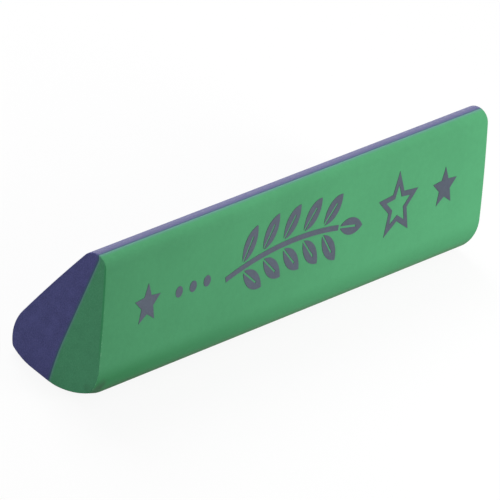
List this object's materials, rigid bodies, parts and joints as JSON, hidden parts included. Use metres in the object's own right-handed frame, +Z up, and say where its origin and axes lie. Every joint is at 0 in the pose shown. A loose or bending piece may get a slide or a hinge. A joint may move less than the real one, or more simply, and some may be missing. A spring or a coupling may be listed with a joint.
{
  "type": "eraser",
  "caption": "Long triangular rubber eraser in two bonded colours, with square-cut ends and a printed front face, for rubbing out pencil marks.",
  "frame": {"origin": "on the base, under the middle of the eraser's box", "axes": "+X along the length, +Y across from the green half to the blue half, +Z up from the base to the rounded top edge"},
  "size_m": [0.09, 0.0146, 0.0207],
  "materials": {
    "green_rubber": "matte soft rubber",
    "blue_rubber": "matte soft rubber",
    "print_ink": "thin matte printing ink"
  },
  "bodies": {
    "root": {"green_half": "green_rubber", "blue_half": "blue_rubber", "print_stem": "print_ink", "print_leaves": "print_ink", "print_stars": "print_ink", "print_dots": "print_ink"}
  },
  "joints": []
}
